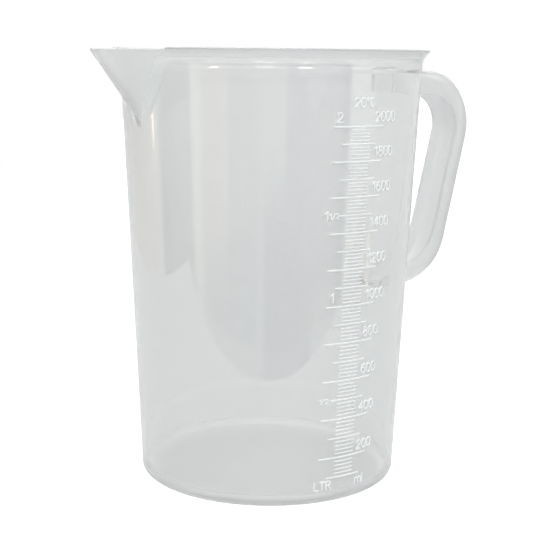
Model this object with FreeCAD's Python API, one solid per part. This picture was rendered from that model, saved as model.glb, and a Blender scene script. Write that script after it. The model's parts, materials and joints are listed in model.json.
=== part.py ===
import FreeCAD, Part
import math
import os
from FreeCAD import Vector

# A two-litre measuring jug, moulded in one shot of clear polypropylene.
# Millimetres. The origin is the centre of the base on the table, +Z is up, the handle
# is towards +X, the spout towards -X, and the graduated scale faces -Y.
# The one moulding is cut at its natural features, and the pieces meet face to face.

# Vessel: a cone that widens upwards, open at the top
HEIGHT = 199.0
BASE_RADIUS = 60.2            # outside of the wall, carried down to the table
DRAFT = math.radians(2.7)
WALL = 2.0                    # square to the surface
FLOOR_TOP = 2.6               # inside of the floor above the table
FLOOR_RECESS = 0.8            # the floor's underside stands this far off the table
HEEL_OUTER_RADIUS = 3.5
HEEL_INNER_RADIUS = 3.0
FOOT_WIDTH = 3.4
GATE_RADIUS = 2.0
GATE_HEIGHT = 0.5

# Rim: a lip that rolls outwards and ends in a flat top
LIP_BEND_RADIUS = 7.0
LIP_ANGLE = math.radians(41.0)    # from the vertical, at the edge
LIP_STRAIGHT_RISE = 2.4

# Spout: a beak with a round nose, the same in section from its foot to its tip
SPOUT_TIP_REACH = 91.0        # nose to the vessel's axis, at the top
SPOUT_LEAN = 0.752            # outward run for each mm of rise
SPOUT_NOSE_RADIUS = 9.0
SPOUT_HALF_ANGLE = math.radians(36.5)
SPOUT_WALL = 2.2              # measured level
SPOUT_EDGE_DROP = 0.75        # the spout's edge lies below the lip's top
SPOUT_ZONE = math.radians(18.6)   # half the stretch of rim that is lowered
BEAK_DEPTH = 50.0             # down to a level where it lies wholly inside the vessel

# Handle: a channel whose open side faces the vessel
HANDLE_WIDTH = 19.2
HANDLE_WEB = 2.0
HANDLE_FLANGE = 2.2
# corners of the back and of the lip as (distance from the axis, height), and their radii
HANDLE_BACK = [(60.0, 191.9), (121.6, 186.4), (97.5, 87.4), (60.0, 80.6)]
HANDLE_BACK_RADII = [27.0, 28.7]
HANDLE_LIP = [(60.0, 179.2), (110.7, 176.2), (91.8, 99.5), (60.0, 84.6)]
HANDLE_LIP_RADII = [15.4, 23.0]

# Scale: raised marks on the outside, in millilitres
MARK_HEIGHT = 0.35
SCALE_STEP = 20
SCALE_FIRST = 100
SCALE_LAST = 2000
LONG_LINE = (25.8, 0.6)       # length round the wall and width
MEDIUM_LINE = (17.8, 0.55)
SHORT_LINE = (10.1, 0.45)
NUMERAL_HEIGHT = 4.0
FRACTION_HEIGHT = 2.3
STROKE = 0.14                 # of the character's height
NUMERAL_RISE = 2.0            # baseline above its line
# where each kind of text starts, in degrees to the right of the scale's middle
NUMERAL_START = 6.6
LITRE_START = -9.9
MIXED_LITRE_START = -13.6
MIXED_FRACTION_START = -11.5
FRACTION_START = -13.1
LEGEND_HEIGHT = 3.8
LEGEND_DROP = 5.2             # baseline below the lowest line
LEGEND_LITRE_START = -13.7
LEGEND_MILLILITRE_START = 6.7
LEGEND_TEMPERATURE_START = -3.0
LEGEND_TEMPERATURE_RISE = 8.1     # baseline above the highest line

# Stroke shapes, in units of the capital height: a line has two points, an arc three
GLYPHS = {
    "0": [[(0, 0.69), (0.31, 1), (0.62, 0.69)], [(0.62, 0.69), (0.62, 0.31)],
          [(0.62, 0.31), (0.31, 0), (0, 0.31)], [(0, 0.31), (0, 0.69)]],
    "1": [[(0.12, 0.76), (0.38, 1)], [(0.38, 1), (0.38, 0)]],
    "2": [[(0.02, 0.74), (0.31, 1), (0.6, 0.7)], [(0.6, 0.7), (0.56, 0.56), (0.46, 0.44)],
          [(0.46, 0.44), (0, 0)], [(0, 0), (0.62, 0)]],
    "4": [[(0.46, 0), (0.46, 1)], [(0.46, 1), (0, 0.3)], [(0, 0.3), (0.62, 0.3)]],
    "6": [[(0.01, 0.3), (0.31, 0.6), (0.61, 0.3)], [(0.61, 0.3), (0.31, 0), (0.01, 0.3)],
          [(0.01, 0.3), (0.12, 0.74), (0.5, 1)]],
    "8": [[(0.02, 0.29), (0.31, 0.58), (0.6, 0.29)], [(0.6, 0.29), (0.31, 0), (0.02, 0.29)],
          [(0.1, 0.79), (0.31, 1), (0.52, 0.79)], [(0.52, 0.79), (0.31, 0.58), (0.1, 0.79)]],
    "/": [[(0, -0.05), (0.45, 1.05)]],
    "L": [[(0, 1), (0, 0)], [(0, 0), (0.5, 0)]],
    "T": [[(0, 1), (0.62, 1)], [(0.31, 1), (0.31, 0)]],
    "R": [[(0, 0), (0, 1)], [(0, 1), (0.32, 1)], [(0.32, 1), (0.57, 0.75), (0.32, 0.5)],
          [(0.32, 0.5), (0, 0.5)], [(0.3, 0.5), (0.6, 0)]],
    "m": [[(0, 0), (0, 0.72)], [(0, 0.46), (0.25, 0.71), (0.5, 0.46)], [(0.5, 0.46), (0.5, 0)],
          [(0.5, 0.46), (0.75, 0.71), (1, 0.46)], [(1, 0.46), (1, 0)]],
    "l": [[(0, 0), (0, 1)]],
    "C": [[(0.58, 0.78), (0.3, 1), (0.02, 0.7)], [(0.02, 0.7), (0.02, 0.3)],
          [(0.02, 0.3), (0.3, 0), (0.58, 0.22)]],
    "o": [[(0, 0.86), (0.13, 0.99), (0.26, 0.86)], [(0.26, 0.86), (0.13, 0.73), (0, 0.86)]],
}
GLYPH_WIDTH = {"1": 0.5, "/": 0.45, "L": 0.5, "m": 1.0, "l": 0.1, "o": 0.26}
DIGIT_WIDTH = 0.62
GLYPH_GAP = 0.2

Z_AXIS = Vector(0, 0, 1)
ORIGIN = Vector(0, 0, 0)
FULL_TURN = 360.0
OVERRUN = 5.0                 # how far a cutting shape stands past what it cuts

SIN_D, COS_D, TAN_D = math.sin(DRAFT), math.cos(DRAFT), math.tan(DRAFT)
LIP_RISE = LIP_BEND_RADIUS * (math.sin(LIP_ANGLE) - SIN_D) + LIP_STRAIGHT_RISE
LIP_START = HEIGHT - LIP_RISE
SPOUT_TOP = HEIGHT - SPOUT_EDGE_DROP


def outer_radius(z):
    return BASE_RADIUS + z * TAN_D


def inner_radius(z):
    return outer_radius(z) - WALL / COS_D


def section_point(r, z):
    return Vector(r, 0, z)


def line(a, b):
    return Part.LineSegment(section_point(*a), section_point(*b)).toShape()


def arc(a, middle, b):
    return Part.Arc(section_point(*a), section_point(*middle), section_point(*b)).toShape()


def ring(edges):
    """Turns a closed section of (radius, height) edges once round the axis."""
    face = Part.Face(Part.Wire(edges))
    return face.revolve(ORIGIN, Z_AXIS, FULL_TURN)


def on_circle(centre, radius, angle):
    """A point of the section, its angle measured from the outward direction."""
    return (centre[0] + radius * math.cos(angle), centre[1] + radius * math.sin(angle))


def inward(point, distance):
    """Moves a section point square to the wall, towards the axis."""
    return (point[0] - distance * COS_D, point[1] + distance * SIN_D)


# ---- vessel ----

def heel_points():
    """Centres of the heel's two fillets, and where they leave the wall."""
    outer = (outer_radius(HEEL_OUTER_RADIUS) - HEEL_OUTER_RADIUS / COS_D, HEEL_OUTER_RADIUS)
    level = FLOOR_TOP + HEEL_INNER_RADIUS
    inner = (inner_radius(level) - HEEL_INNER_RADIUS / COS_D, level)
    return outer, inner


HEEL_OUTER, HEEL_INNER = heel_points()
HEEL_WALL_INSIDE = on_circle(HEEL_INNER, HEEL_INNER_RADIUS, -DRAFT)
HEEL_WALL_OUTSIDE = inward(HEEL_WALL_INSIDE, -WALL)
LIP_WALL_OUTSIDE = (outer_radius(LIP_START), LIP_START)
LIP_WALL_INSIDE = inward(LIP_WALL_OUTSIDE, WALL)


def base_floor():
    disc = Part.makeCylinder(HEEL_INNER[0], FLOOR_TOP - FLOOR_RECESS)
    disc.translate(Vector(0, 0, FLOOR_RECESS))
    return disc


def foot_ring():
    outside = Part.makeCylinder(HEEL_OUTER[0], FLOOR_RECESS)
    inside = Part.makeCylinder(HEEL_OUTER[0] - FOOT_WIDTH, FLOOR_RECESS)
    return outside.cut(inside)


def gate_nub():
    nub = Part.makeCylinder(GATE_RADIUS, GATE_HEIGHT)
    nub.translate(Vector(0, 0, FLOOR_RECESS - GATE_HEIGHT))
    return nub


def base_heel():
    floor_edge = (HEEL_INNER[0], FLOOR_TOP)
    inner_middle = on_circle(HEEL_INNER, HEEL_INNER_RADIUS, -(math.pi / 2 + DRAFT) / 2)
    outer_end = on_circle(HEEL_OUTER, HEEL_OUTER_RADIUS, -DRAFT)
    outer_middle = on_circle(HEEL_OUTER, HEEL_OUTER_RADIUS, -(math.pi / 2 + DRAFT) / 2)
    toe = (HEEL_OUTER[0], 0.0)
    toe_top = (HEEL_OUTER[0], FLOOR_RECESS)
    floor_under = (HEEL_INNER[0], FLOOR_RECESS)
    return ring([
        arc(floor_edge, inner_middle, HEEL_WALL_INSIDE),
        line(HEEL_WALL_INSIDE, HEEL_WALL_OUTSIDE),
        line(HEEL_WALL_OUTSIDE, outer_end),
        arc(outer_end, outer_middle, toe),
        line(toe, toe_top),
        line(toe_top, floor_under),
        line(floor_under, floor_edge),
    ])


def full_wall():
    return ring([
        line(HEEL_WALL_INSIDE, HEEL_WALL_OUTSIDE),
        line(HEEL_WALL_OUTSIDE, LIP_WALL_OUTSIDE),
        line(LIP_WALL_OUTSIDE, LIP_WALL_INSIDE),
        line(LIP_WALL_INSIDE, HEEL_WALL_INSIDE),
    ])


def full_lip():
    """The lip as it runs round the vessel wherever there is no spout."""
    centre = inward(LIP_WALL_OUTSIDE, -LIP_BEND_RADIUS)
    start, end = math.pi - DRAFT, math.pi - LIP_ANGLE
    edges = []
    ends = []
    for radius in (LIP_BEND_RADIUS, LIP_BEND_RADIUS + WALL):
        bend = [on_circle(centre, radius, a) for a in (start, (start + end) / 2, end)]
        rise = HEIGHT - bend[2][1]
        top = (bend[2][0] + rise * math.tan(LIP_ANGLE), HEIGHT)
        edges += [arc(*bend), line(bend[2], top)]
        ends.append((bend[0], top))
    edges.append(line(ends[0][1], ends[1][1]))
    edges.append(line(ends[0][0], ends[1][0]))
    return ring(Part.__sortEdges__(edges))


def straight_rim():
    """The wall carried straight on up to the top, which the spout's cheeks join."""
    top_outside = (outer_radius(HEIGHT), HEIGHT)
    top_inside = (inner_radius(HEIGHT), HEIGHT)
    return ring([
        line(LIP_WALL_OUTSIDE, top_outside),
        line(top_outside, top_inside),
        line(top_inside, LIP_WALL_INSIDE),
        line(LIP_WALL_INSIDE, LIP_WALL_OUTSIDE),
    ])


def vessel_cone(offset):
    """The vessel's outside as a full cone, grown by an offset."""
    return Part.makeCone(BASE_RADIUS + offset, outer_radius(HEIGHT) + offset, HEIGHT)


# ---- spout ----

def beak(offset, open_end):
    """A round-nosed wedge, drawn up along the spout's lean. offset shrinks it all round."""
    foot = SPOUT_TOP - BEAK_DEPTH
    nose = SPOUT_NOSE_RADIUS - offset
    centre = -(SPOUT_TIP_REACH - SPOUT_LEAN * (SPOUT_TOP - foot)) + SPOUT_NOSE_RADIUS
    touch_x = centre - nose * math.sin(SPOUT_HALF_ANGLE)
    touch_y = nose * math.cos(SPOUT_HALF_ANGLE)
    run = open_end - touch_x
    end_y = touch_y + run * math.tan(SPOUT_HALF_ANGLE)
    left, right = Vector(touch_x, -touch_y, foot), Vector(touch_x, touch_y, foot)
    far_left, far_right = Vector(open_end, -end_y, foot), Vector(open_end, end_y, foot)
    outline = Part.Wire([
        Part.Arc(left, Vector(centre - nose, 0, foot), right).toShape(),
        Part.LineSegment(right, far_right).toShape(),
        Part.LineSegment(far_right, far_left).toShape(),
        Part.LineSegment(far_left, left).toShape(),
    ])
    rise = HEIGHT + OVERRUN - foot
    return Part.Face(outline).extrude(Vector(-SPOUT_LEAN * rise, 0, rise))


def rim_trim():
    """The sliver that is taken off the rim at the spout."""
    reach = 2 * SPOUT_TIP_REACH
    corners = [Vector(0, 0, SPOUT_TOP)]
    for side in (-1, 1):
        corners.append(Vector(-reach, side * reach * math.tan(SPOUT_ZONE), SPOUT_TOP))
    return Part.Face(Part.makePolygon(corners + corners[:1])).extrude(Z_AXIS * OVERRUN)


def vessel():
    """The wall, the lip and the spout."""
    outside = beak(0.0, 0.0)
    channel = beak(SPOUT_WALL, 0.0)
    trim = rim_trim()
    shell = outside.cut(channel)
    above = Part.makeCylinder(2 * SPOUT_TIP_REACH, 2 * OVERRUN, Vector(0, 0, SPOUT_TOP))
    spout = shell.cut(vessel_cone(0.0)).cut(above)
    cheeks = straight_rim().common(shell)
    lip = full_lip().cut(outside).fuse(cheeks).cut(trim)
    wall = full_wall().cut(channel)
    return wall, lip, spout


# ---- handle ----

def offset_corners(corners, distance):
    """Moves an open run of corners sideways, each stretch by the same distance."""
    lines = []
    for a, b in zip(corners, corners[1:]):
        length = math.dist(a, b)
        unit = ((b[0] - a[0]) / length, (b[1] - a[1]) / length)
        shift = (unit[1] * distance, -unit[0] * distance)
        lines.append(((a[0] + shift[0], a[1] + shift[1]), unit))
    moved = [lines[0][0]]
    for (p, u), (q, v) in zip(lines, lines[1:]):
        cross = u[0] * v[1] - u[1] * v[0]
        t = ((q[0] - p[0]) * v[1] - (q[1] - p[1]) * v[0]) / cross
        moved.append((p[0] + t * u[0], p[1] + t * u[1]))
    last, unit = lines[-1]
    length = math.dist(corners[-2], corners[-1])
    start_shift = (moved[-1][0] - last[0]) * unit[0] + (moved[-1][1] - last[1]) * unit[1]
    rest = length - start_shift
    moved.append((moved[-1][0] + unit[0] * rest, moved[-1][1] + unit[1] * rest))
    return moved


def rounded_run(corners, radii):
    """Edges of an open run whose inner corners are rounded by tangent arcs."""
    edges = []
    start = corners[0]
    for i, radius in enumerate(radii, 1):
        before, at, after = corners[i - 1], corners[i], corners[i + 1]
        a, b = math.dist(at, before), math.dist(at, after)
        u = ((before[0] - at[0]) / a, (before[1] - at[1]) / a)
        v = ((after[0] - at[0]) / b, (after[1] - at[1]) / b)
        half = math.acos(u[0] * v[0] + u[1] * v[1]) / 2
        reach = radius / math.tan(half)
        enter = (at[0] + u[0] * reach, at[1] + u[1] * reach)
        leave = (at[0] + v[0] * reach, at[1] + v[1] * reach)
        bisector = (u[0] + v[0], u[1] + v[1])
        size = math.hypot(*bisector)
        depth = radius / math.sin(half) - radius
        middle = (at[0] + bisector[0] / size * depth, at[1] + bisector[1] / size * depth)
        edges += [line(start, enter), arc(enter, middle, leave)]
        start = leave
    edges.append(line(start, corners[-1]))
    return edges, corners[0], corners[-1]


def band(outer_run, inner_run, low_y, high_y):
    """The strip between two runs, as thick across the handle as low_y to high_y."""
    outer_edges, outer_start, outer_end = outer_run
    inner_edges, inner_start, inner_end = inner_run
    closing = [line(outer_start, inner_start), line(outer_end, inner_end)]
    face = Part.Face(Part.Wire(Part.__sortEdges__(outer_edges + inner_edges + closing)))
    solid = face.extrude(Vector(0, high_y - low_y, 0))
    solid.translate(Vector(0, low_y, 0))
    return solid.cut(vessel_cone(0.0))


def handle():
    """The web along the back of the handle, and a flange down each side of it."""
    web_corners = offset_corners(HANDLE_BACK, HANDLE_WEB)
    web_radii = [r - HANDLE_WEB for r in HANDLE_BACK_RADII]
    back = rounded_run(HANDLE_BACK, HANDLE_BACK_RADII)
    web_inside = rounded_run(web_corners, web_radii)
    lip = rounded_run(HANDLE_LIP, HANDLE_LIP_RADII)
    half = HANDLE_WIDTH / 2
    web = band(back, web_inside, -half, half)
    front = band(web_inside, lip, -half, HANDLE_FLANGE - half)
    rear = band(web_inside, lip, half - HANDLE_FLANGE, half)
    return web, front, rear


# ---- scale ----

def volume_to(z):
    """Millilitres that the vessel holds up to a height."""
    bottom, top = inner_radius(FLOOR_TOP), inner_radius(z)
    frustum = math.pi * (z - FLOOR_TOP) * (bottom**2 + bottom * top + top**2) / 3
    corner_area = (1 - math.pi / 4) * HEEL_INNER_RADIUS**2
    return (frustum - corner_area * 2 * math.pi * bottom) / 1000


def height_of(millilitres):
    low, high = FLOOR_TOP, HEIGHT
    for _ in range(50):
        middle = (low + high) / 2
        if volume_to(middle) < millilitres:
            low = middle
        else:
            high = middle
    return low


def scale_line(millilitres, length, width):
    """One raised line, centred on the middle of the scale."""
    low, high = height_of(millilitres) - width / 2, height_of(millilitres) + width / 2
    corners = [(outer_radius(low), low), (outer_radius(low) + MARK_HEIGHT, low),
               (outer_radius(high) + MARK_HEIGHT, high), (outer_radius(high), high)]
    points = [section_point(*c) for c in corners + corners[:1]]
    turn = math.degrees(length / outer_radius(low))
    bar = Part.Face(Part.makePolygon(points)).revolve(ORIGIN, Z_AXIS, turn)
    bar.rotate(ORIGIN, Z_AXIS, -90 - turn / 2)
    return bar


def stroke_solid(points, width, depth):
    """A flat stroke in the XZ plane: a bar with round ends, or a bent bar."""
    half = width / 2
    ends = [Vector(points[0][0], 0, points[0][1]), Vector(points[-1][0], 0, points[-1][1])]
    solids = []
    for end in ends:
        solids.append(Part.makeCylinder(half, depth, end, Vector(0, 1, 0)))
    if len(points) == 2:
        along = (ends[1] - ends[0]).normalize()
        side = Vector(-along.z, 0, along.x) * half
        corners = [ends[0] + side, ends[1] + side, ends[1] - side, ends[0] - side]
        outline = Part.makePolygon(corners + corners[:1])
    else:
        middle = Vector(points[1][0], 0, points[1][1])
        centre = Part.Arc(ends[0], middle, ends[1]).toShape().Curve.Center

        def shifted(distance):
            moved = [p + (p - centre).normalize() * distance for p in (ends[0], middle, ends[1])]
            return moved, Part.Arc(*moved).toShape()

        outer, outer_edge = shifted(half)
        inner, inner_edge = shifted(-half)
        caps = [Part.makeLine(outer[0], inner[0]), Part.makeLine(outer[2], inner[2])]
        outline = Part.Wire(Part.__sortEdges__([outer_edge, inner_edge] + caps))
    solids.append(Part.Face(outline).extrude(Vector(0, depth, 0)))
    return solids[0].fuse(solids[1:])


def glyph_solid(character, height):
    depth = 4 * MARK_HEIGHT
    solids = []
    for points in GLYPHS[character]:
        scaled = [(x * height, z * height) for x, z in points]
        solids.append(stroke_solid(scaled, STROKE * height, depth))
    return solids[0].fuse(solids[1:]) if len(solids) > 1 else solids[0]


def text_marks(text, start, baseline, height=NUMERAL_HEIGHT):
    """Raised characters on the wall, from an angle right of the scale's middle."""
    marks = []
    skin = vessel_cone(MARK_HEIGHT).cut(vessel_cone(0.0))
    radius = outer_radius(baseline + height / 2)
    cursor = 0.0
    for character in text:
        width = GLYPH_WIDTH.get(character, DIGIT_WIDTH) * height
        solid = glyph_solid(character, height)
        solid.translate(Vector(-width / 2, -2 * MARK_HEIGHT, 0))
        solid.rotate(ORIGIN, Vector(1, 0, 0), math.degrees(DRAFT))
        solid.translate(Vector(0, -outer_radius(baseline), baseline))
        solid.rotate(ORIGIN, Z_AXIS, start + math.degrees((cursor + width / 2) / radius))
        marks += solid.common(skin).Solids
        cursor += width + GLYPH_GAP * height
    return marks


def scale_marks():
    long_lines, medium_lines, short_lines, numerals = [], [], [], []
    for millilitres in range(SCALE_FIRST, SCALE_LAST + 1, SCALE_STEP):
        if millilitres % 200 == 0:
            long_lines.append(scale_line(millilitres, *LONG_LINE))
            baseline = height_of(millilitres) + NUMERAL_RISE
            numerals += text_marks(str(millilitres), NUMERAL_START, baseline)
        elif millilitres % 100 == 0:
            medium_lines.append(scale_line(millilitres, *MEDIUM_LINE))
        else:
            short_lines.append(scale_line(millilitres, *SHORT_LINE))
    return long_lines, medium_lines, short_lines, numerals


def litre_marks():
    """Whole litres above their lines, half litres level with theirs."""
    litres = []
    for count in (1, 2):
        litres += text_marks(str(count), LITRE_START, height_of(1000 * count) + NUMERAL_RISE)
    for millilitres, start in ((500, FRACTION_START), (1500, MIXED_FRACTION_START)):
        baseline = height_of(millilitres) - FRACTION_HEIGHT / 2
        litres += text_marks("1/2", start, baseline, FRACTION_HEIGHT)
    baseline = height_of(1500) - NUMERAL_HEIGHT / 2
    litres += text_marks("1", MIXED_LITRE_START, baseline)
    return litres


def save(name, solids):
    shape = solids[0] if len(solids) == 1 else Part.makeCompound(solids)
    for solid in solids:
        if not solid.isValid() or solid.Volume <= 0:
            print("BAD SOLID in", name)
    shape.exportStep("parts/" + name + ".step")
    print("%-26s solids %3d  volume %10.2f" % (name, len(shape.Solids), shape.Volume))


def main():
    os.makedirs("parts", exist_ok=True)
    wall, lip, spout = vessel()
    web, front, rear = handle()
    long_lines, medium_lines, short_lines, numerals = scale_marks()
    below = height_of(SCALE_FIRST) - LEGEND_DROP
    above = height_of(SCALE_LAST) + LEGEND_TEMPERATURE_RISE
    save("body_wall", wall.Solids)
    save("base_floor", [base_floor()])
    save("base_heel", [base_heel()])
    save("foot_ring", [foot_ring()])
    save("gate_nub", [gate_nub()])
    save("rim_lip", lip.Solids)
    save("pouring_spout", spout.Solids)
    save("handle_web", web.Solids)
    save("handle_flange_front", front.Solids)
    save("handle_flange_back", rear.Solids)
    save("graduation_lines_200ml", long_lines)
    save("graduation_lines_100ml", medium_lines)
    save("graduation_lines_20ml", short_lines)
    save("numerals_millilitre", numerals)
    save("numerals_litre", litre_marks())
    save("legend_litre", text_marks("LTR", LEGEND_LITRE_START, below, LEGEND_HEIGHT))
    save("legend_millilitre", text_marks("ml", LEGEND_MILLILITRE_START, below, LEGEND_HEIGHT))
    save("legend_temperature", text_marks("20oC", LEGEND_TEMPERATURE_START, above, LEGEND_HEIGHT))
    for millilitres in (100, 500, 1000, 1500, 2000):
        print("level", millilitres, round(height_of(millilitres), 2))
    print("brim ml", round(volume_to(SPOUT_TOP)))


main()
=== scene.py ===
import json
import math

import bmesh
import bpy
from mathutils import Matrix, Vector


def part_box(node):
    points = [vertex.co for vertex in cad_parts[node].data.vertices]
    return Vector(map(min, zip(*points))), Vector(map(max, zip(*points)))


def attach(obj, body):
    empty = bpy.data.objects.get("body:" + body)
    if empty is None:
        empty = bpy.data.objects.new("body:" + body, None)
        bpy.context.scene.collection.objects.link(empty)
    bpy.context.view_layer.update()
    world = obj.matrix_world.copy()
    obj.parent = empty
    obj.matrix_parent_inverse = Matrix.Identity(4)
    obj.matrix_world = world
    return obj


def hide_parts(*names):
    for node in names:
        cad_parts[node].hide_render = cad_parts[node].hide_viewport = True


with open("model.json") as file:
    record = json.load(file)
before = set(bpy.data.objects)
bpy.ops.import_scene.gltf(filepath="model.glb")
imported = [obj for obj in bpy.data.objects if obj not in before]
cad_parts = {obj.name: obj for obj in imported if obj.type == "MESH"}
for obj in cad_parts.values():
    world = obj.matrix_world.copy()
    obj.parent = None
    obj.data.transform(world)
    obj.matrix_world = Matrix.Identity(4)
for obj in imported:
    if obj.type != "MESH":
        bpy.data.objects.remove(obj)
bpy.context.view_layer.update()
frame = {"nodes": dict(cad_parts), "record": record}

# A two-litre measuring jug, moulded in one shot of clear polypropylene. The base is
# centred on the origin, the handle is towards +X, the spout towards -X, and the
# graduated scale faces -Y.

MM = 0.001

# ---- sizes that the frame gives ----

wall_low, wall_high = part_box("body_wall")
heel_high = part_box("base_heel")[1]
lip_low, lip_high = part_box("rim_lip")
spout_low, spout_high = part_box("pouring_spout")
floor_low, floor_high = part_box("base_floor")
gate_low, gate_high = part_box("gate_nub")
web_low, web_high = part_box("handle_web")
flange_low, flange_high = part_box("handle_flange_front")

# ---- sizes of the moulding that it doesn't ----

WALL = 2.0 * MM                   # square to the surface
HEEL_OUTER_RADIUS = 3.5 * MM
HEEL_INNER_RADIUS = 3.0 * MM
FOOT_WIDTH = 3.4 * MM
FOOT_ROUND = 0.3 * MM             # on the inside edges of the foot ring
LIP_BEND_RADIUS = 7.0 * MM
LIP_ANGLE = math.radians(41.0)    # from the vertical, at the edge
EDGE_ROUND = 0.45 * MM            # on the rim's two corners
SHOULDER_DROP = 9.3 * MM          # from the rim down to a small ledge inside
SHOULDER_DEPTH = 0.5 * MM         # the wall is thinner by this above the ledge
SHOULDER_RISE = 2.0 * MM          # over which it gets thinner
SPOUT_LEAN = 0.752                # outward run for each unit of rise
SPOUT_NOSE_RADIUS = 9.0 * MM
SPOUT_HALF_ANGLE = math.radians(36.5)
SPOUT_WALL = 2.2 * MM             # measured level
SPOUT_ZONE = math.radians(18.6)   # half the stretch of rim that is lowered
SPOUT_REACH = math.radians(45.0)  # past this, the wall has no spout in it
SPOUT_BLEND = 3.0 * MM            # softness of the crease round the spout, outside
SPOUT_BLEND_INSIDE = 3.6 * MM
RIM_STEP = math.radians(0.5)      # the turn over which the rim steps down to the spout
RIM_SETTLE = 12 * MM              # the skin follows the rim's step this far down

# ---- vessel ----

HEIGHT = lip_high.z
SPOUT_TOP = spout_high.z
SPOUT_TIP = -spout_low.x
FLOOR_TOP = floor_high.z
FLOOR_UNDER = floor_low.z
LIP_START = lip_low.z
SLOPE = (wall_high.y - heel_high.y) / (LIP_START - wall_low.z)
DRAFT = math.atan(SLOPE)
BASE_RADIUS = wall_high.y - LIP_START * SLOPE


def outer_radius(z):
    return BASE_RADIUS + z * SLOPE


def inner_radius(z):
    return outer_radius(z) - WALL / math.cos(DRAFT)


def smooth_max(a, b, softness):
    """The larger of two distances, with the crease between them rounded."""
    near = max(softness - abs(a - b), 0.0) / softness
    return max(a, b) + near * near * softness / 4


def lip_radius(z, inside):
    """The rolled lip's radius at a height, on its outside or its inside face."""
    centre_r = outer_radius(LIP_START) + LIP_BEND_RADIUS * math.cos(DRAFT)
    centre_z = LIP_START - LIP_BEND_RADIUS * math.sin(DRAFT)
    radius = LIP_BEND_RADIUS + (WALL if inside else 0.0)
    rise = z - centre_z
    if rise <= radius * math.sin(DRAFT):
        return inner_radius(z) if inside else outer_radius(z)
    if rise <= radius * math.sin(LIP_ANGLE):
        return centre_r - math.sqrt(radius * radius - rise * rise)
    straight = rise - radius * math.sin(LIP_ANGLE)
    return centre_r - radius * math.cos(LIP_ANGLE) + straight * math.tan(LIP_ANGLE)


def spout_radius(z, turn, inside):
    """How far the spout's round-nosed wedge reaches at a height, at a turn from its middle."""
    nose = SPOUT_NOSE_RADIUS - (SPOUT_WALL if inside else 0.0)
    centre = SPOUT_TIP - SPOUT_LEAN * (SPOUT_TOP - z) - SPOUT_NOSE_RADIUS
    slant = math.sin(SPOUT_HALF_ANGLE)
    nose_ends = math.atan2(nose * math.cos(SPOUT_HALF_ANGLE), centre + nose * slant)
    turn = abs(turn)
    if turn > SPOUT_REACH or centre <= 0:
        return 0.0
    if turn < nose_ends:
        return centre * math.cos(turn) + math.sqrt(nose**2 - (centre * math.sin(turn)) ** 2)
    return (centre * slant + nose) / math.sin(SPOUT_HALF_ANGLE + turn)


def ease(value, start, end):
    """0 before start and 1 after end, with a smooth rise between them."""
    t = min(max((value - start) / (end - start), 0.0), 1.0)
    return t * t * (3 - 2 * t)


def skin_radius(z, turn, inside):
    """The vessel's outside or inside face, the spout included."""
    softness = SPOUT_BLEND_INSIDE if inside else SPOUT_BLEND
    wall = lip_radius(z, inside)
    if inside:
        shoulder = HEIGHT - SHOULDER_DROP
        wall += SHOULDER_DEPTH * ease(z, shoulder - SHOULDER_RISE / 2, shoulder + SHOULDER_RISE / 2)
    return smooth_max(wall, spout_radius(z, turn, inside), softness)


def rim_height(turn):
    """The rim's top: a small step down to the spout's edge."""
    step = ease(abs(turn), SPOUT_ZONE - RIM_STEP / 2, SPOUT_ZONE + RIM_STEP / 2)
    return SPOUT_TOP + (HEIGHT - SPOUT_TOP) * step


# ---- how finely the vessel is divided ----

TURN_AT_STEP = math.radians(0.12)     # columns at the step in the rim
TURN_AT_SPOUT = math.radians(0.45)
TURN_ELSEWHERE = math.radians(1.25)
TURN_GROWTH = 0.12                    # how fast their spacing grows past the spout
TURN_SPOUT_ENDS = math.radians(21.0)
SPOUT_FOOT = SPOUT_TOP - (SPOUT_TIP - outer_radius(SPOUT_TOP)) / (SPOUT_LEAN - SLOPE)
# heights from and to, and the rows' spacing between them: the first that holds is used
ROWS = [
    (HEIGHT - SHOULDER_DROP - SHOULDER_RISE, HEIGHT - SHOULDER_DROP + SHOULDER_RISE, 0.16 * MM),
    (LIP_START - 2 * MM, HEIGHT, 0.6 * MM),
    (SPOUT_FOOT - 5 * MM, HEIGHT, 1.2 * MM),
    (web_low.z - 6 * MM, web_low.z + 12 * MM, 1.5 * MM),
]
ROW_ELSEWHERE = 5.0 * MM


def walk(start, end, step_at):
    """Places from start to end, each a local step from the last."""
    places = [start]
    while places[-1] < end:
        places.append(places[-1] + step_at(places[-1]))
    scale = (end - start) / (places[-1] - start)
    return [start + (p - start) * scale for p in places]


def turn_step(turn):
    """Columns are close together at the spout and closest at the step in its rim."""
    if abs(turn - SPOUT_ZONE) < RIM_STEP:
        return TURN_AT_STEP
    past = max(turn - TURN_SPOUT_ENDS, 0.0)
    return min(TURN_AT_SPOUT + TURN_GROWTH * past, TURN_ELSEWHERE)


def columns():
    """The turns of the vessel's columns, all round from the middle of the spout."""
    half = walk(0.0, math.pi, turn_step)
    return half + [-t for t in reversed(half[1:-1])]


def row_step(z):
    """Rows are close together at the ledge, the lip, the spout and the handle's foot."""
    for low, high, step in ROWS:
        if low < z < high:
            return step
    return ROW_ELSEWHERE


def round_corner(before, at, after, radius, count):
    """Points of the arc that rounds a corner of a section."""
    u = (before - at).normalized()
    v = (after - at).normalized()
    half = u.angle(v) / 2
    reach = radius / math.tan(half)
    centre = at + (u + v).normalized() * (radius / math.sin(half))
    start = at + u * reach - centre
    end = at + v * reach - centre
    sweep = start.angle_signed(end)
    points = []
    for i in range(count + 1):
        points.append(centre + Matrix.Rotation(-sweep * i / count, 2) @ start)
    return points


def quarter(centre, radius, start, end, count):
    """Points of an arc round a centre, between two angles from the outward direction."""
    points = []
    for i in range(count + 1):
        angle = start + (end - start) * i / count
        points.append(Vector((centre[0] + radius * math.cos(angle),
                              centre[1] + radius * math.sin(angle))))
    return points


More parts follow.
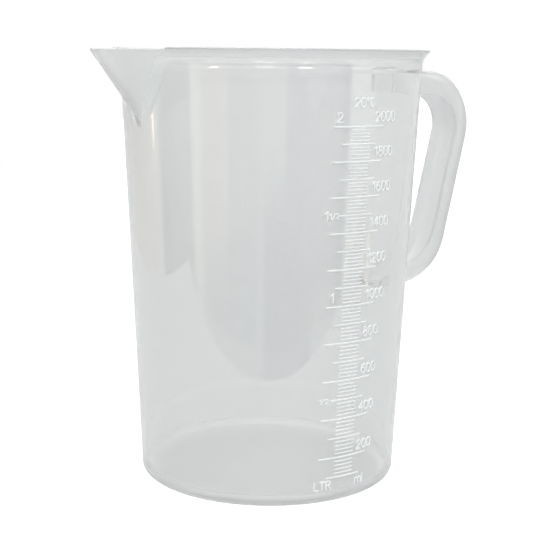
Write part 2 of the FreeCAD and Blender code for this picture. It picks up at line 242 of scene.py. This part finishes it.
def base_section():
    """The underside, from the gate at its centre to the top of the outer heel."""
    gate = gate_high.x
    nub = (FLOOR_UNDER - gate_low.z) / 2
    heel = outer_radius(HEEL_OUTER_RADIUS) - HEEL_OUTER_RADIUS / math.cos(DRAFT)
    foot_inside = heel - FOOT_WIDTH
    inner_ring, outer_ring = gate * 0.3, gate * 1.2     # these keep the faces short
    points = [Vector((inner_ring, gate_low.z)), Vector((gate - nub, gate_low.z))]
    points += quarter((gate - nub, gate_low.z + nub), nub, -math.pi / 2, 0, 4)[1:]
    points += [Vector((gate, FLOOR_UNDER)), Vector((outer_ring, FLOOR_UNDER))]
    for share in (0.25, 0.5, 0.75, 0.96):
        points.append(Vector((foot_inside * share, FLOOR_UNDER)))
    edge = FOOT_ROUND
    points += quarter((foot_inside - edge, FLOOR_UNDER - edge), edge, math.pi / 2, 0, 3)
    points += quarter((foot_inside + edge, edge), edge, math.pi, 1.5 * math.pi, 3)
    points += quarter((heel, HEEL_OUTER_RADIUS), HEEL_OUTER_RADIUS, -math.pi / 2, -DRAFT, 10)
    return points


def floor_section():
    """The inside, from the foot of the wall to the middle of the floor."""
    level = FLOOR_TOP + HEEL_INNER_RADIUS
    centre = (inner_radius(level) - HEEL_INNER_RADIUS / math.cos(DRAFT), level)
    points = quarter(centre, HEEL_INNER_RADIUS, -DRAFT, -math.pi / 2, 10)
    for share in (0.9, 0.7, 0.5, 0.3, 0.1):
        points.append(Vector((centre[0] * share, FLOOR_TOP)))
    return points


def vessel_mesh():
    """The whole vessel in quads: every column has the same number of points, all round."""
    turns = columns()
    under, inside_floor = base_section(), floor_section()
    heights = walk(under[-1].y, HEIGHT, row_step)
    inside_heights = walk(inside_floor[0].y, HEIGHT, row_step)
    bm = bmesh.new()
    strips = []
    for turn in turns:
        drop = HEIGHT - rim_height(turn)

        def skin(z, inside):
            share = min(max((z - HEIGHT + RIM_SETTLE) / RIM_SETTLE, 0.0), 1.0)
            z -= drop * share
            return Vector((skin_radius(z, turn, inside), z))

        up = [skin(z, False) for z in heights[1:]]
        down = [skin(z, True) for z in reversed(inside_heights[1:])]
        outer_corner = round_corner(up[-2], up[-1], down[0], EDGE_ROUND, 4)
        inner_corner = round_corner(up[-1], down[0], down[1], EDGE_ROUND, 4)
        column = under + up[:-1] + outer_corner + inner_corner + down[1:] + inside_floor
        around = Vector((-math.cos(turn), -math.sin(turn)))
        strips.append([bm.verts.new((around.x * p.x, around.y * p.x, p.y)) for p in column])
    for here, there in zip(strips, strips[1:] + strips[:1]):
        for i in range(len(here) - 1):
            bm.faces.new((here[i], there[i], there[i + 1], here[i + 1]))
    bottom = bm.verts.new((0, 0, gate_low.z))
    middle = bm.verts.new((0, 0, FLOOR_TOP))
    for here, there in zip(strips, strips[1:] + strips[:1]):
        bm.faces.new((bottom, there[0], here[0]))
        bm.faces.new((middle, here[-1], there[-1]))
    bmesh.ops.recalc_face_normals(bm, faces=bm.faces)
    return bm


# ---- handle ----

HANDLE_WIDTH = web_high.y - web_low.y
HANDLE_WEB = 2.0 * MM
HANDLE_FLANGE = flange_high.y - flange_low.y
# corners of the back and of the lip, in millimetres from the axis and up from the table,
# and the radii of the two in the middle
HANDLE_BACK = [(60.0, 191.9), (121.6, 186.4), (97.5, 87.4), (60.0, 80.6)]
HANDLE_BACK_RADII = [27.0, 28.7]
HANDLE_LIP = [(60.0, 179.2), (110.7, 176.2), (91.8, 99.5), (60.0, 84.6)]
HANDLE_LIP_RADII = [15.4, 23.0]
HANDLE_BACK_ROUND = 1.9 * MM      # outside corners of the channel
HANDLE_CHANNEL_ROUND = 1.9 * MM   # its inside corners
HANDLE_EDGE_ROUND = 0.9 * MM      # edges of the flanges
HANDLE_STEP = 2.0 * MM            # between the sections that are swept
HANDLE_POINTS = 0.25 * MM         # between the points that the sections are chosen from
HANDLE_ARC_POINTS = 60
HANDLE_DEEPEST = 20 * MM          # a point of the lip further off than this isn't across


def rounded_run(corners, radii):
    """Evenly spaced points of an open run whose inner corners are rounded by tangent arcs."""
    corners = [Vector(c) * MM for c in corners]
    points = [corners[0]]
    for i, radius in enumerate(radii, 1):
        points += round_corner(corners[i - 1], corners[i], corners[i + 1], radius * MM,
                               HANDLE_ARC_POINTS)
    points.append(corners[-1])
    dense = []
    for a, b in zip(points, points[1:]):
        count = max(1, round((b - a).length / HANDLE_POINTS))
        dense += [a.lerp(b, k / count) for k in range(count)]
    return dense + [points[-1]]


def channel_section(depth):
    """The channel's outline as (across, in from the back), its corners rounded."""
    half = HANDLE_WIDTH / 2
    back, edge = HANDLE_BACK_ROUND, min(HANDLE_EDGE_ROUND, depth / 4)
    inner = min(HANDLE_CHANNEL_ROUND, (depth - HANDLE_WEB) * 0.6)
    corners = [
        (Vector((half, 0)), back, 5),
        (Vector((half, depth)), edge, 3),
        (Vector((half - HANDLE_FLANGE, depth)), edge, 3),
        (Vector((half - HANDLE_FLANGE, HANDLE_WEB)), inner, 5),
        (Vector((HANDLE_FLANGE - half, HANDLE_WEB)), inner, 5),
        (Vector((HANDLE_FLANGE - half, depth)), edge, 3),
        (Vector((-half, depth)), edge, 3),
        (Vector((-half, 0)), back, 5),
    ]
    outline = []
    for i, (at, radius, count) in enumerate(corners):
        before, after = corners[i - 1][0], corners[(i + 1) % len(corners)][0]
        outline += round_corner(before, at, after, radius, count)
    return outline


def handle_stations():
    """Pairs of a point on the back and the point square across from it on the lip."""
    back = rounded_run(HANDLE_BACK, HANDLE_BACK_RADII)
    lip = rounded_run(HANDLE_LIP, HANDLE_LIP_RADII)
    free = [p for p in back if p.x > outer_radius(p.y) - WALL / 2]
    stations, gone = [], 0.0
    last = free[0]
    for i, point in enumerate(free):
        gone += (point - last).length
        last = point
        if 0 < i < len(free) - 1 and gone < HANDLE_STEP:
            continue
        gone = 0.0
        along = (free[min(i + 1, len(free) - 1)] - free[max(i - 1, 0)]).normalized()
        near = [q for q in lip if (q - point).length <= HANDLE_DEEPEST]
        stations.append((point, min(near, key=lambda q: abs((q - point).dot(along)))))
    return stations


def handle_mesh():
    """The channel swept from the wall round to the wall again, its ends inside the wall."""
    bm = bmesh.new()
    loops = []
    stations = handle_stations()
    for number, (back, lip) in enumerate(stations):
        depth = (lip - back).length
        inward = (lip - back) / depth
        loop = []
        for p in channel_section(depth):
            place = back + inward * p.y
            x, y, z = place.x, p.x, place.y
            if number in (0, len(stations) - 1):
                x = math.sqrt((outer_radius(z) - WALL / 2) ** 2 - y * y)
            loop.append(bm.verts.new((x, y, z)))
        loops.append(loop)
    for here, there in zip(loops, loops[1:]):
        for i in range(len(here)):
            j = (i + 1) % len(here)
            bm.faces.new((here[i], here[j], there[j], there[i]))
    bm.faces.new(loops[0])
    bm.faces.new(list(reversed(loops[-1])))
    bmesh.ops.recalc_face_normals(bm, faces=bm.faces)
    return bm


# ---- moulding ----

MOULDING_CREASE = math.radians(35)    # an edge sharper than this is shaded sharp


def new_piece(name, bm):
    mesh = bpy.data.meshes.new(name)
    bm.to_mesh(mesh)
    bm.free()
    piece = bpy.data.objects.new(name, mesh)
    bpy.context.scene.collection.objects.link(piece)
    return piece


def join_solid(target, tool):
    """Unites two closed meshes into one, and drops the second."""
    union = target.modifiers.new("union", "BOOLEAN")
    union.operation = "UNION"
    union.solver = "MANIFOLD"
    union.object = tool
    graph = bpy.context.evaluated_depsgraph_get()
    joined = bpy.data.meshes.new_from_object(target.evaluated_get(graph))
    target.modifiers.remove(union)
    target.data = joined
    bpy.data.objects.remove(tool)


jug = new_piece("jug_moulding", vessel_mesh())
join_solid(jug, new_piece("jug_handle", handle_mesh()))
jug.data.shade_smooth()
jug.data.set_sharp_from_angle(angle=MOULDING_CREASE)

# ---- raised marks ----

MARK_SINK = 0.12 * MM             # how far a mark reaches into the wall
MARK_ROUND = 0.13 * MM            # on a mark's edges
MARK_TOP = 0.12 * MM              # further out of the wall than this is a mark's top
MARK_FOOT = 0.05 * MM             # nearer to the wall than this is its foot
MARK_WELD = 0.002 * MM            # points closer together than this are one
MARK_FLAT = math.radians(1)       # an edge flatter than this goes
MARK_EDGE = math.radians(40)      # an edge sharper than this is rounded
MARK_CREASE = math.radians(50)    # and sharper than this is shaded sharp


def raised_mark(node):
    """A CAD node of the scale with its edges rounded and its foot let into the wall."""
    bm = bmesh.new()
    bm.from_mesh(frame["nodes"][node].data)
    bmesh.ops.remove_doubles(bm, verts=bm.verts, dist=MARK_WELD)
    bmesh.ops.dissolve_limit(bm, angle_limit=MARK_FLAT, verts=bm.verts, edges=bm.edges)
    top = [v for v in bm.verts if math.hypot(v.co.x, v.co.y) - outer_radius(v.co.z) > MARK_TOP]
    ridge = {e for v in top for e in v.link_edges if e.calc_face_angle(0) > MARK_EDGE}
    bmesh.ops.bevel(bm, geom=list(ridge), offset=MARK_ROUND, segments=2, affect="EDGES",
                    profile=0.5, clamp_overlap=True)
    for v in bm.verts:
        radius = math.hypot(v.co.x, v.co.y)
        proud = radius - outer_radius(v.co.z)
        if proud < MARK_FOOT:
            share = (radius - MARK_SINK) / radius
            v.co.x *= share
            v.co.y *= share
    bmesh.ops.recalc_face_normals(bm, faces=bm.faces)
    piece = new_piece(node + "_mark", bm)
    piece.data.shade_smooth()
    piece.data.set_sharp_from_angle(angle=MARK_CREASE)
    return piece


# ---- materials ----

MATT = 0.38                             # roughness added on the parts below
MATT_SIDES = (63 * MM, 74 * MM)         # grows between these, towards handle and spout
MATT_RIM = (HEIGHT - 7 * MM, HEIGHT - 1.5 * MM)
MATT_HEEL = (3.5 * MM, 9 * MM)          # shrinks between these
PLASTIC_IOR = 1.4
COAT_IOR = 1.49


class Recipe:
    """A material whose nodes are added one call at a time."""

    def __init__(self, name):
        self.material = bpy.data.materials.new(name)
        self.material.use_nodes = True
        self.tree = self.material.node_tree
        self.shader = self.tree.nodes["Principled BSDF"]
        self.place = self.add("ShaderNodeTexCoord").outputs["Object"]

    def add(self, kind, **settings):
        node = self.tree.nodes.new(kind)
        for key, value in settings.items():
            setattr(node, key, value)
        return node

    def noise(self, scale, detail=2.0, stretch=(1, 1, 1)):
        """Noise over the piece, drawn out along an axis by a stretch under 1."""
        mapping = self.add("ShaderNodeMapping")
        mapping.inputs["Scale"].default_value = stretch
        node = self.add("ShaderNodeTexNoise")
        node.inputs["Scale"].default_value = scale
        node.inputs["Detail"].default_value = detail
        self.tree.links.new(self.place, mapping.inputs["Vector"])
        self.tree.links.new(mapping.outputs["Vector"], node.inputs["Vector"])
        return node.outputs["Fac"]

    def spread(self, value, low, high, start=0.3, end=0.7):
        """Maps a value from between start and end to between low and high."""
        node = self.add("ShaderNodeMapRange")
        node.inputs["From Min"].default_value = start
        node.inputs["From Max"].default_value = end
        node.inputs["To Min"].default_value = low
        node.inputs["To Max"].default_value = high
        self.tree.links.new(value, node.inputs["Value"])
        return node.outputs["Result"]

    def across_and_up(self):
        """How far along +X and +Z a point lies."""
        node = self.add("ShaderNodeSeparateXYZ")
        self.tree.links.new(self.place, node.inputs["Vector"])
        return node.outputs["X"], node.outputs["Z"]

    def math(self, operation, *values):
        """One sum on outputs, such as their largest or their total."""
        node = self.add("ShaderNodeMath", operation=operation)
        for value, socket in zip(values, node.inputs):
            self.tree.links.new(value, socket)
        return node.outputs["Value"]

    def tints(self, value, first, second):
        """A colour between two, as the value goes from 0 to 1."""
        node = self.add("ShaderNodeMix", data_type="RGBA")
        node.inputs["A"].default_value = (*first, 1)
        node.inputs["B"].default_value = (*second, 1)
        self.tree.links.new(value, node.inputs["Factor"])
        return node.outputs["Result"]

    def bump(self, value, distance, strength, under=None):
        node = self.add("ShaderNodeBump")
        node.inputs["Distance"].default_value = distance
        node.inputs["Strength"].default_value = strength
        self.tree.links.new(value, node.inputs["Height"])
        if under is not None:
            self.tree.links.new(under, node.inputs["Normal"])
        return node.outputs["Normal"]

    def feed(self, name, value):
        """Links an output to one of the shader's inputs."""
        self.tree.links.new(value, self.shader.inputs[name])

    def set(self, **values):
        """Sets inputs of the shader that are the same all over."""
        for name, value in values.items():
            self.shader.inputs[name.replace("_", " ")].default_value = value


def clear_polypropylene():
    """Clear moulded plastic: faint flow waves, a slight haze and fine handling marks."""
    recipe = Recipe("clear_polypropylene")
    recipe.set(IOR=PLASTIC_IOR, Transmission_Weight=0.86)
    recipe.set(Coat_Weight=0.7, Coat_Roughness=0.03, Coat_IOR=COAT_IOR)
    flow = recipe.noise(22.0, 2.0, (1, 1, 0.35))
    haze = recipe.noise(60.0, 3.0)
    scuffs = recipe.noise(420.0, 4.0, (1, 1, 0.2))
    recipe.feed("Base Color", recipe.tints(flow, (0.935, 0.938, 0.936), (0.922, 0.93, 0.932)))
    across, up = recipe.across_and_up()
    sides = recipe.spread(recipe.math("ABSOLUTE", across), 0.0, MATT, *MATT_SIDES)
    rim = recipe.spread(up, 0.0, MATT, *MATT_RIM)
    heel = recipe.spread(up, MATT, 0.0, *MATT_HEEL)
    matt = recipe.math("MAXIMUM", sides, recipe.math("MAXIMUM", rim, heel))
    recipe.feed("Roughness", recipe.math("ADD", recipe.spread(haze, 0.02, 0.06), matt))
    waves = recipe.bump(flow, 1.5 * MM, 0.12)
    recipe.feed("Normal", recipe.bump(scuffs, 0.01 * MM, 0.06, waves))
    return recipe.material


def raised_plastic():
    """The raised scale: the same plastic, matt and nearly opaque, so that it reads white."""
    recipe = Recipe("raised_marks")
    recipe.set(IOR=PLASTIC_IOR, Transmission_Weight=0.1)
    grain = recipe.noise(900.0, 3.0)
    wear = recipe.noise(80.0, 2.0)
    recipe.feed("Base Color", recipe.tints(wear, (0.86, 0.88, 0.88), (0.81, 0.83, 0.835)))
    recipe.feed("Roughness", recipe.spread(grain, 0.35, 0.55))
    recipe.feed("Normal", recipe.bump(grain, 0.05 * MM, 0.4))
    return recipe.material


def wear_slot(piece, material):
    """Gives a piece its material and slot, and lets it ride on the jug's one body."""
    piece.data.materials.clear()
    piece.data.materials.append(material)
    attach(piece, "root")


clear = clear_polypropylene()
white = raised_plastic()
wear_slot(jug, clear)
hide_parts("body_wall", "base_floor", "base_heel", "foot_ring", "gate_nub", "rim_lip",
            "pouring_spout", "handle_web", "handle_flange_front", "handle_flange_back")
for node in frame["record"]["physics"]["no_collision_nodes"]:
    mark = raised_mark(node)
    wear_slot(mark, white)
    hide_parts(node)

# ---- camera ----

LENS = 81.66                        # millimetres, on the sensor below
SENSOR = 36.0
CAMERA_DISTANCE = 0.5654            # from the jug's axis, on the level
CAMERA_HEIGHT = 0.1963
CAMERA_TURN = math.radians(-33.7)   # of the line of sight, from straight along +Y
CAMERA_PITCH = 0.1734               # down, in radians, as are the next two
CAMERA_ROLL = 0.0103
CAMERA_YAW = -0.0022                # away from the jug's axis


def camera():
    """The camera stands in front, towards the spout's side, and looks a little down."""
    data = bpy.data.cameras.new("camera")
    data.lens = LENS
    data.sensor_width = SENSOR
    eye = bpy.data.objects.new("camera", data)
    bpy.context.scene.collection.objects.link(eye)
    forward = Vector((math.sin(CAMERA_YAW) * math.cos(CAMERA_PITCH),
                      math.cos(CAMERA_YAW) * math.cos(CAMERA_PITCH), -math.sin(CAMERA_PITCH)))
    right = Vector((math.cos(CAMERA_YAW), -math.sin(CAMERA_YAW), 0))
    up = right.cross(forward)
    level = right * math.cos(CAMERA_ROLL) + up * math.sin(CAMERA_ROLL)
    upright = up * math.cos(CAMERA_ROLL) - right * math.sin(CAMERA_ROLL)
    turn = Matrix.Rotation(CAMERA_TURN, 3, "Z")
    matrix = Matrix([turn @ v for v in (level, upright, -forward)]).transposed().to_4x4()
    matrix.translation = turn @ Vector((0, -CAMERA_DISTANCE, CAMERA_HEIGHT))
    eye.matrix_world = matrix
    bpy.context.scene.camera = eye


# ---- studio ----

BACKDROP = (1.0, 1.0, 1.0)          # what the camera sees behind the jug
LIGHT_ROOM = (0.745, 0.755, 0.76)   # what the plastic sees round it
# Lighter and darker parts of the room that the plastic sees, each over the ones before:
# turns from and to, lifts from and to, the degrees over which it fades out, and its
# colour. A turn is in degrees from the camera's side of the jug towards the camera's
# right, and a lift is in degrees above level.
PANELS = [
    (-180, 180, 25, 90, 4, (1.6, 1.6, 1.6)),          # ceiling
    (-97, 58, -90, 6, 4, (0.42, 0.45, 0.45)),         # dim room in front, low down
    (-97, -64, -14, 6, 4, (0.06, 0.06, 0.06)),        # dark strip on the left
    (-134, -97, -90, 40, 4, (0.72, 0.70, 0.64)),      # warm wall beside it
    (-102, -101, -6.8, -5.2, 0.8, (8.0, 6.4, 3.8)),   # small warm light on that wall
    (-60, -35, -13, 2, 5, (0.82, 0.78, 0.64)),        # warm patch
    (14, 62, -15, 6, 4, (0.0, 0.01, 0.13)),           # deep blue patch on the right
    (-2, 34, -20, -14, 4, (0.0, 0.01, 0.13)),         # and its lower end
    (64, 130, -90, 60, 4, (1.15, 1.20, 1.18)),        # bright wall on the right
]
TABLE_FRONT = 0.216                 # from the jug's axis to the table's front edge
TABLE_LEFT = 0.45                   # to its left edge
TABLE_FAR = 8.0                     # to its other edges
TABLE_ROUGHNESS = 0.9
# The table's paint and glow, first as the plastic sees them, then as the camera does
TABLE_PAINT = ((0.05, 0.05, 0.05), (0.5, 0.5, 0.5))
TABLE_GLOW = ((0.72, 0.73, 0.735), (0.75, 0.75, 0.75))
LAMP_DISTANCE = 1.2
# Each lamp's name, turn and lift, measured as the panels' are, size, power and colour
LAMPS = [
    ("lamp_left", -34, 42, 0.22, 2.0, (1.0, 0.9, 0.72)),
    ("lamp_centre", 7, 39, 0.28, 4.0, (1.0, 1.0, 1.0)),
    ("lamp_right", 58, 42, 0.16, 2.0, (1.0, 0.96, 0.88)),
]
BOUNCES = 32                        # enough for both walls and the handle
GLOSSY_BOUNCES = 16
FRONT = Matrix.Rotation(CAMERA_TURN, 3, "Z") @ Vector((0, -1, 0))
RIGHT = Matrix.Rotation(CAMERA_TURN, 3, "Z") @ Vector((1, 0, 0))


def dot(tree, source, direction):
    """How far a vector output points along a fixed direction."""
    node = tree.nodes.new("ShaderNodeVectorMath")
    node.operation = "DOT_PRODUCT"
    tree.links.new(source, node.inputs[0])
    node.inputs[1].default_value = direction
    return node.outputs["Value"]


def mixed_colour(tree, factor, first, second):
    """A colour between two, each given as numbers or as an output."""
    node = tree.nodes.new("ShaderNodeMix")
    node.data_type = "RGBA"
    tree.links.new(factor, node.inputs["Factor"])
    for name, colour in (("A", first), ("B", second)):
        if isinstance(colour, bpy.types.NodeSocket):
            tree.links.new(colour, node.inputs[name])
        else:
            node.inputs[name].default_value = (*colour, 1)
    return node.outputs["Result"]


def ramp(tree, value, start, end):
    """0 at start and 1 at end, and no more outside them."""
    node = tree.nodes.new("ShaderNodeMapRange")
    node.inputs["From Min"].default_value = start
    node.inputs["From Max"].default_value = end
    tree.links.new(value, node.inputs["Value"])
    return node.outputs["Result"]


def angle_of(tree, rise, run):
    """The angle in radians whose tangent is rise over run."""
    node = tree.nodes.new("ShaderNodeMath")
    node.operation = "ARCTAN2"
    tree.links.new(rise, node.inputs[0])
    tree.links.new(run, node.inputs[1])
    return node.outputs["Value"]


def times(tree, first, second):
    node = tree.nodes.new("ShaderNodeMath")
    node.operation = "MULTIPLY"
    tree.links.new(first, node.inputs[0])
    tree.links.new(second, node.inputs[1])
    return node.outputs["Value"]


def within(tree, angle, start, end, soft):
    """1 between two angles in degrees, fading to 0 outside them."""
    soft = math.radians(soft)
    start, end = math.radians(start), math.radians(end)
    rising = ramp(tree, angle, start - soft, start)
    falling = ramp(tree, angle, end + soft, end)
    return times(tree, rising, falling)


def lift_of(tree, direction):
    """How far a direction is above level, in radians."""
    flat = tree.nodes.new("ShaderNodeVectorMath")
    flat.operation = "MULTIPLY"
    flat.inputs[1].default_value = (1, 1, 0)
    tree.links.new(direction, flat.inputs[0])
    run = tree.nodes.new("ShaderNodeVectorMath")
    run.operation = "LENGTH"
    tree.links.new(flat.outputs["Vector"], run.inputs[0])
    return angle_of(tree, dot(tree, direction, Vector((0, 0, 1))), run.outputs["Value"])


def camera_sees(tree):
    """1 for what the camera sees directly, and 0 for what the plastic passes on."""
    return tree.nodes.new("ShaderNodeLightPath").outputs["Is Camera Ray"]


def studio_world():
    """White behind the jug for the camera, and the room round it for the plastic."""
    world = bpy.data.worlds.new("studio")
    world.use_nodes = True
    tree = world.node_tree
    direction = tree.nodes.new("ShaderNodeTexCoord").outputs["Generated"]
    turn = angle_of(tree, dot(tree, direction, RIGHT), dot(tree, direction, FRONT))
    lift = lift_of(tree, direction)
    room = LIGHT_ROOM
    for turn_from, turn_to, lift_from, lift_to, soft, colour in PANELS:
        inside = times(tree, within(tree, turn, turn_from, turn_to, soft),
                       within(tree, lift, lift_from, lift_to, soft))
        room = mixed_colour(tree, inside, room, colour)
    colour = mixed_colour(tree, camera_sees(tree), room, BACKDROP)
    tree.links.new(colour, tree.nodes["Background"].inputs["Color"])
    bpy.context.scene.world = world


def table():
    """A pale glowing table, whose front edge shows only in what the plastic mirrors."""
    bm = bmesh.new()
    corners = ((TABLE_FRONT, -TABLE_LEFT), (TABLE_FRONT, TABLE_FAR),
               (-TABLE_FAR, TABLE_FAR), (-TABLE_FAR, -TABLE_LEFT))
    for ahead, across in corners:
        bm.verts.new(FRONT * ahead + RIGHT * across)
    bm.faces.new(bm.verts)
    floor = new_piece("stage_table", bm)
    material = bpy.data.materials.new("stage_table")
    material.use_nodes = True
    tree = material.node_tree
    shader = tree.nodes["Principled BSDF"]
    shader.inputs["Roughness"].default_value = TABLE_ROUGHNESS
    shader.inputs["Specular IOR Level"].default_value = 0.0
    paint = mixed_colour(tree, camera_sees(tree), *TABLE_PAINT)
    glow = mixed_colour(tree, camera_sees(tree), *TABLE_GLOW)
    tree.links.new(paint, shader.inputs["Base Color"])
    tree.links.new(glow, shader.inputs["Emission Color"])
    shader.inputs["Emission Strength"].default_value = 1.0
    floor.data.materials.append(material)


def lamp(name, turn, lift, size, power, colour):
    """A square soft lamp aimed at the middle of the jug."""
    data = bpy.data.lights.new(name, "AREA")
    data.size = size
    data.energy = power
    data.color = colour
    light = bpy.data.objects.new(name, data)
    bpy.context.scene.collection.objects.link(light)
    aim = Vector((0, 0, HEIGHT / 2))
    away = Matrix.Rotation(math.radians(turn), 3, "Z") @ FRONT
    lift = math.radians(lift)
    away = away * math.cos(lift) + Vector((0, 0, math.sin(lift)))
    light.location = aim + away * LAMP_DISTANCE
    light.rotation_mode = "QUATERNION"
    light.rotation_quaternion = away.to_track_quat("Z", "Y")


camera()
studio_world()
table()
for settings in LAMPS:
    lamp(*settings)
bpy.context.scene.view_settings.view_transform = "Standard"
bpy.context.scene.cycles.max_bounces = BOUNCES
bpy.context.scene.cycles.transmission_bounces = BOUNCES
bpy.context.scene.cycles.glossy_bounces = GLOSSY_BOUNCES
